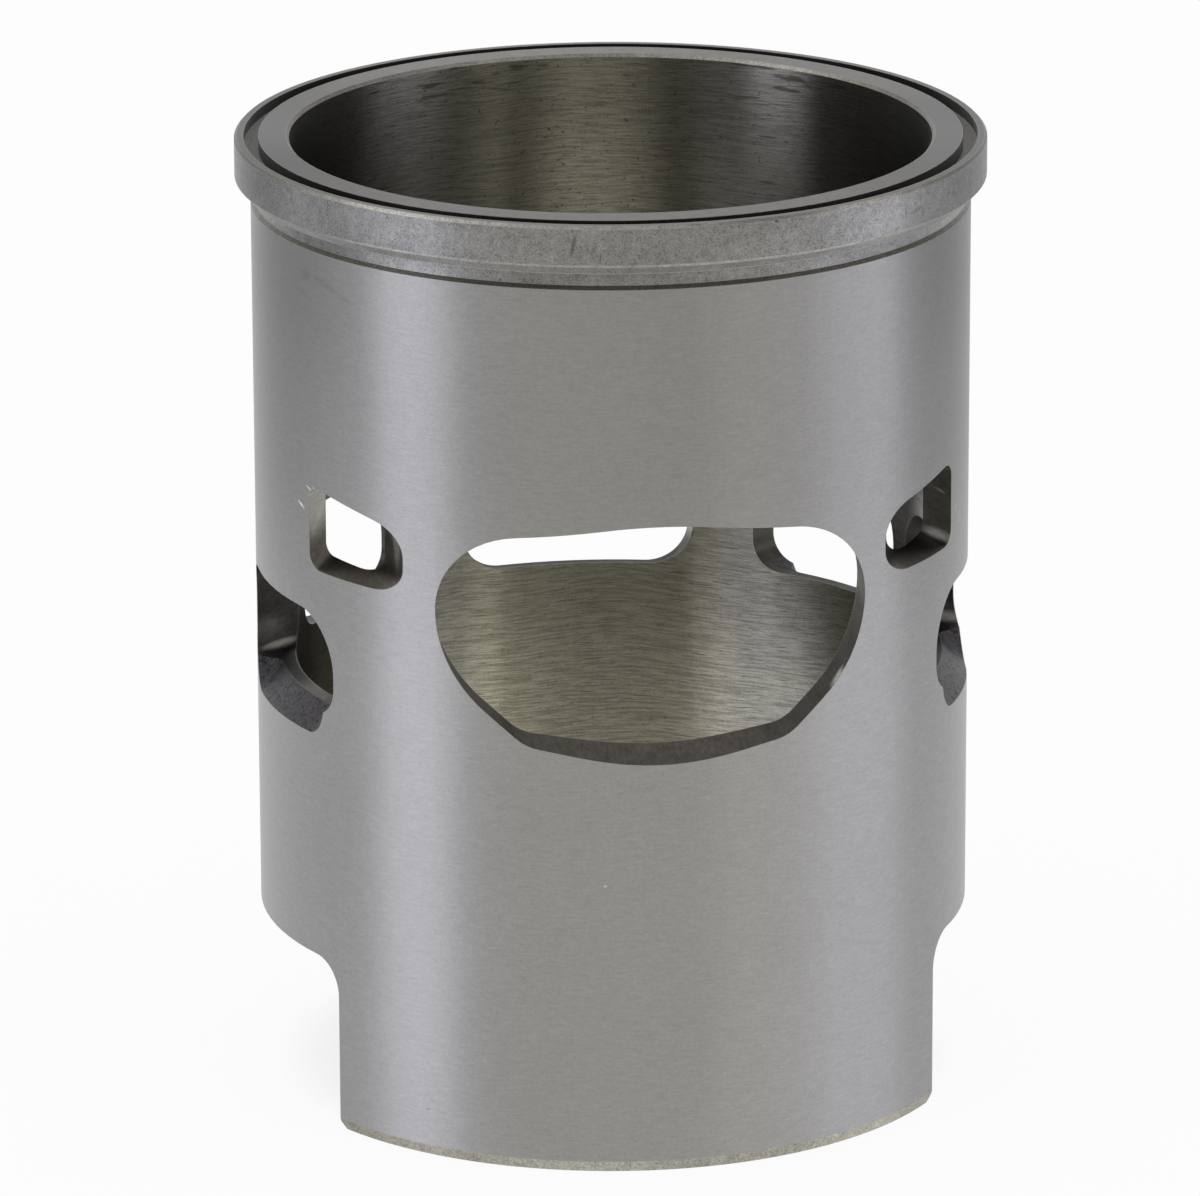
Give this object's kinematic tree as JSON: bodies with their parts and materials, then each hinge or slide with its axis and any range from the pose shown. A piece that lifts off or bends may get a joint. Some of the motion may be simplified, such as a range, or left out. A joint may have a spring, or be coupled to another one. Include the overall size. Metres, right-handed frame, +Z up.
{
  "type": "cylinder liner",
  "caption": "Ported two-stroke cylinder liner: flanged cast-iron tube with exhaust, transfer and boost ports and a notched skirt.",
  "frame": {"origin": "on the bore's axis, at the lower end of the skirt's tongues", "axes": "+Z up along the bore towards the flange; the exhaust port faces -Y; +X is to the right of someone looking at the exhaust port"},
  "size_m": [0.096, 0.096, 0.1243],
  "materials": {
    "grey_iron": "ground outside, turned flange, honed bore"
  },
  "bodies": {
    "root": {"cylinder_liner": "grey_iron"}
  },
  "joints": []
}
